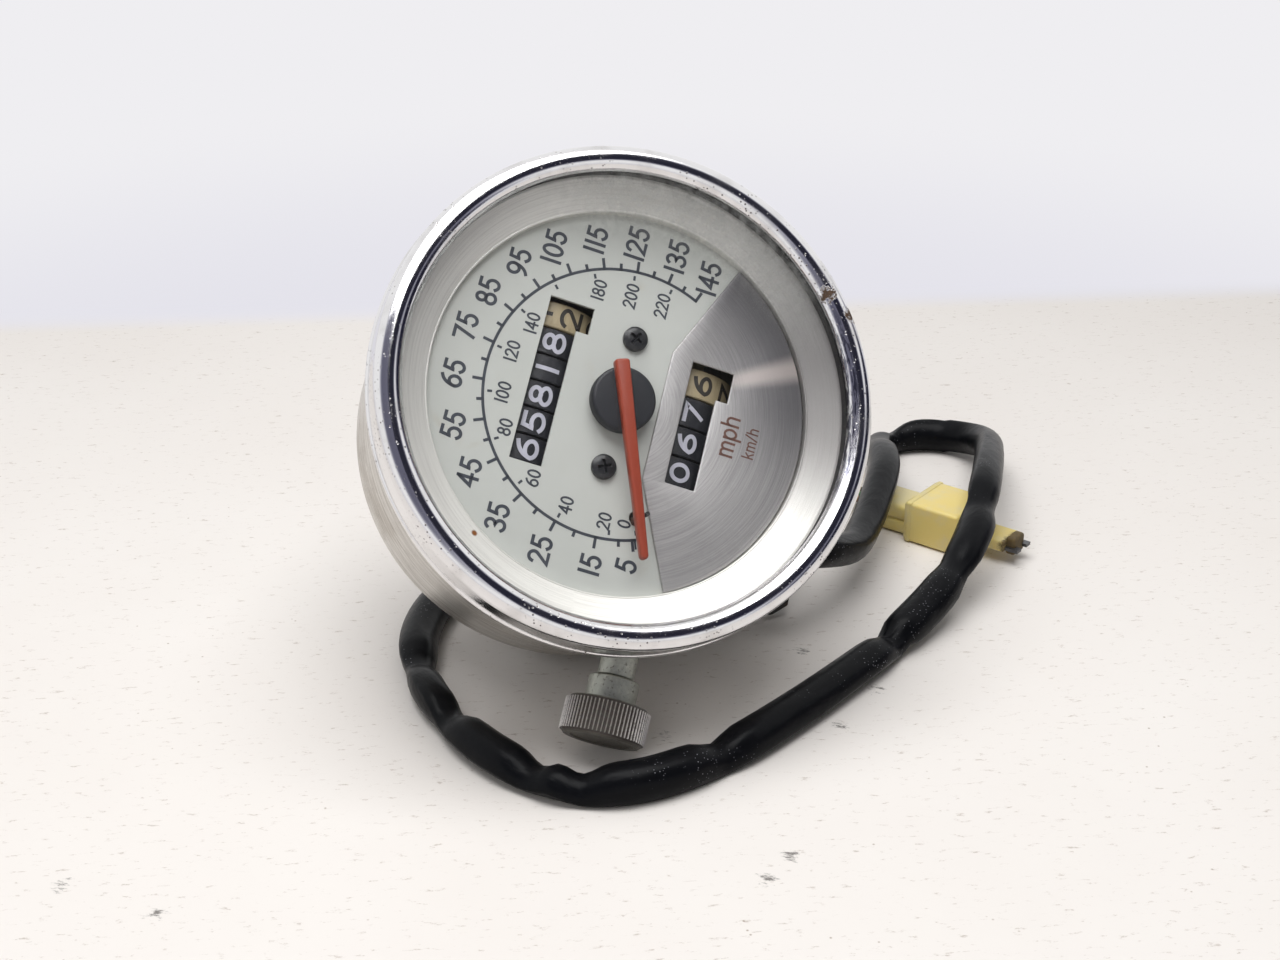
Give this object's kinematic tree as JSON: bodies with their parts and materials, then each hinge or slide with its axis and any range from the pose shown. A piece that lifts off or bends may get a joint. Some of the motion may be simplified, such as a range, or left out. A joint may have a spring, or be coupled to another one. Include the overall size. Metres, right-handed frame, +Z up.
{
  "type": "vintage speedometer",
  "caption": "Round cable-driven speedometer with odometer, trip counter and reset knob, lying face up on its case with a sleeved wiring harness round it",
  "frame": {"origin": "on the table, under the middle of the instrument's box without its harness", "axes": "+Z is up from the table, +Y points away from the viewer, +X to the viewer's right; the face's normal points up, towards the viewer and a little right"},
  "size_m": [0.1555, 0.176, 0.1134],
  "materials": {
    "chrome": "polished chrome plate with a little rust",
    "glass": "clear flat glass",
    "rubber": "black rubber",
    "turned_aluminium": "satin turned aluminium",
    "brushed_plate": "brushed aluminium plate",
    "case_metal": "polished spun aluminium, worn",
    "dial_paint": "pale satin dial paint",
    "black_screw": "blackened steel",
    "steel": "plain steel",
    "plated_steel": "zinc-plated steel, aged",
    "die_cast": "die-cast frame metal",
    "zinc": "corroded die-cast zinc",
    "bronze": "bronze and brass",
    "magnet": "cast magnet",
    "nylon_gear": "natural nylon",
    "dark_drum": "dark moulded drum with pale digits",
    "tan_drum": "tan moulded drum with dark digits",
    "needle_red": "red needle paint, faded",
    "hub_black": "black moulded hub",
    "bracket_black": "black paint with rust",
    "sleeve_black": "black vinyl sleeve",
    "wire": "coloured wire insulation",
    "connector_nylon": "yellowed nylon"
  },
  "bodies": {
    "case": {"bezel_ring": "chrome", "glass_lens": "glass", "lens_gasket": "rubber", "trim_ring": "turned_aluminium", "dial_plate": "dial_paint", "sector_plate": "brushed_plate", "dial_screws": "black_screw", "zero_stop_pin": "steel", "case_cup": "case_metal", "movement_frame": "die_cast", "frame_screws": "plated_steel", "cable_boss": "zinc", "drive_bush": "bronze", "spindle_bridge": "die_cast", "field_ring": "steel", "hairspring": "bronze", "odometer_shaft": "steel", "bulb_holders": "plated_steel", "bulbs": "glass", "knob_bush": "zinc", "knob_seal": "rubber", "harness_grommet": "rubber", "mounting_studs": "plated_steel", "stud_dampers": "rubber", "mounting_bracket": "bracket_black", "stud_washers": "plated_steel", "dome_nuts": "plated_steel", "harness_sleeve": "sleeve_black", "harness_wires": "wire", "connector_housing": "connector_nylon", "connector_terminals": "bronze"},
    "pointer": {"needle": "needle_red", "needle_hub": "hub_black", "pointer_spindle": "steel", "speed_cup": "turned_aluminium"},
    "drive": {"drive_spindle": "steel", "drive_magnet": "magnet"},
    "lay": {"lay_shaft": "nylon_gear"},
    "upright": {"upright_shaft": "nylon_gear"},
    "idler": {"idler_gear": "nylon_gear"},
    "trip_wheel": {"trip_gear": "nylon_gear"},
    "reset": {"reset_shaft": "steel", "reset_knob": "zinc"},
    "odometer_6": {"odometer_drum_6": "tan_drum"},
    "odometer_5": {"odometer_drum_5": "dark_drum"},
    "odometer_4": {"odometer_drum_4": "dark_drum"},
    "odometer_3": {"odometer_drum_3": "dark_drum"},
    "odometer_2": {"odometer_drum_2": "dark_drum"},
    "odometer_1": {"odometer_drum_1": "dark_drum"},
    "trip_4": {"trip_drum_4": "tan_drum"},
    "trip_3": {"trip_drum_3": "dark_drum"},
    "trip_2": {"trip_drum_2": "dark_drum"},
    "trip_1": {"trip_drum_1": "dark_drum"}
  },
  "joints": [
    {"name": "pointer_swing", "type": "hinge", "parent": "case", "child": "pointer", "pos_m": [0.00314, -0.01839, 0.0675], "axis": [0.29, -0.7714, 0.5664], "range_deg": [-223, 0], "stiffness_Nm_per_rad": 0.0004, "springref_deg": 20.05},
    {"name": "drive_spin", "type": "hinge", "parent": "case", "child": "drive", "pos_m": [-0.01049, 0.01787, 0.04087], "axis": [0.29, -0.7714, 0.5664], "continuous": true},
    {"name": "reset_turn", "type": "hinge", "parent": "case", "child": "reset", "pos_m": [0.00213, -0.03738, 0.01655], "axis": [0.228, 0.6305, 0.742], "continuous": true},
    {"name": "lay_spin", "type": "hinge", "parent": "case", "child": "lay", "pos_m": [0.00012, 0.01422, 0.04072], "axis": [0.228, 0.6305, 0.742], "continuous": true},
    {"name": "upright_spin", "type": "hinge", "parent": "case", "child": "upright", "pos_m": [-0.00179, 0.01103, 0.07124], "axis": [0.29, -0.7714, 0.5664], "continuous": true},
    {"name": "idler_spin", "type": "hinge", "parent": "case", "child": "idler", "pos_m": [0.00427, 0.00731, 0.07631], "axis": [0.228, 0.6305, 0.742], "continuous": true},
    {"name": "trip_wheel_spin", "type": "hinge", "parent": "case", "child": "trip_wheel", "pos_m": [0.01809, 0.00676, 0.06849], "axis": [0.228, 0.6305, 0.742], "continuous": true},
    {"name": "odometer_6_turn", "type": "hinge", "parent": "case", "child": "odometer_6", "pos_m": [-0.01222, 0.00045, 0.07542], "axis": [0.228, 0.6305, 0.742], "continuous": true},
    {"name": "odometer_5_turn", "type": "hinge", "parent": "case", "child": "odometer_5", "pos_m": [-0.01352, -0.00315, 0.07119], "axis": [0.228, 0.6305, 0.742], "continuous": true},
    {"name": "odometer_4_turn", "type": "hinge", "parent": "case", "child": "odometer_4", "pos_m": [-0.01482, -0.00674, 0.06696], "axis": [0.228, 0.6305, 0.742], "continuous": true},
    {"name": "odometer_3_turn", "type": "hinge", "parent": "case", "child": "odometer_3", "pos_m": [-0.01612, -0.01033, 0.06273], "axis": [0.228, 0.6305, 0.742], "continuous": true},
    {"name": "odometer_2_turn", "type": "hinge", "parent": "case", "child": "odometer_2", "pos_m": [-0.01742, -0.01393, 0.0585], "axis": [0.228, 0.6305, 0.742], "continuous": true},
    {"name": "odometer_1_turn", "type": "hinge", "parent": "case", "child": "odometer_1", "pos_m": [-0.01872, -0.01752, 0.05427], "axis": [0.228, 0.6305, 0.742], "continuous": true},
    {"name": "trip_4_turn", "type": "hinge", "parent": "reset", "child": "trip_4", "pos_m": [0.01572, 0.0002, 0.06077], "axis": [0.228, 0.6305, 0.742], "continuous": true},
    {"name": "trip_3_turn", "type": "hinge", "parent": "reset", "child": "trip_3", "pos_m": [0.01426, -0.00383, 0.05603], "axis": [0.228, 0.6305, 0.742], "continuous": true},
    {"name": "trip_2_turn", "type": "hinge", "parent": "reset", "child": "trip_2", "pos_m": [0.0128, -0.00787, 0.05128], "axis": [0.228, 0.6305, 0.742], "continuous": true},
    {"name": "trip_1_turn", "type": "hinge", "parent": "reset", "child": "trip_1", "pos_m": [0.01134, -0.0119, 0.04653], "axis": [0.228, 0.6305, 0.742], "continuous": true}
  ],
  "couplings": [
    {"joint": "lay_spin", "follows": "drive_spin", "ratio": 0.11111},
    {"joint": "upright_spin", "follows": "drive_spin", "ratio": 0.010101},
    {"joint": "idler_spin", "follows": "drive_spin", "ratio": -0.00091827},
    {"joint": "trip_wheel_spin", "follows": "drive_spin", "ratio": 0.0006734},
    {"joint": "odometer_6_turn", "follows": "drive_spin", "ratio": 0.0006734},
    {"joint": "odometer_5_turn", "follows": "drive_spin", "ratio": 0.00006734},
    {"joint": "odometer_4_turn", "follows": "drive_spin", "ratio": 0.000006734},
    {"joint": "odometer_3_turn", "follows": "drive_spin", "ratio": 0.0000006734},
    {"joint": "odometer_2_turn", "follows": "drive_spin", "ratio": 0.00000006734},
    {"joint": "odometer_1_turn", "follows": "drive_spin", "ratio": 0.000000006734},
    {"joint": "trip_4_turn", "follows": "drive_spin", "ratio": 0.0006734},
    {"joint": "trip_3_turn", "follows": "drive_spin", "ratio": 0.00006734},
    {"joint": "trip_2_turn", "follows": "drive_spin", "ratio": 0.000006734},
    {"joint": "trip_1_turn", "follows": "drive_spin", "ratio": 0.0000006734}
  ]
}
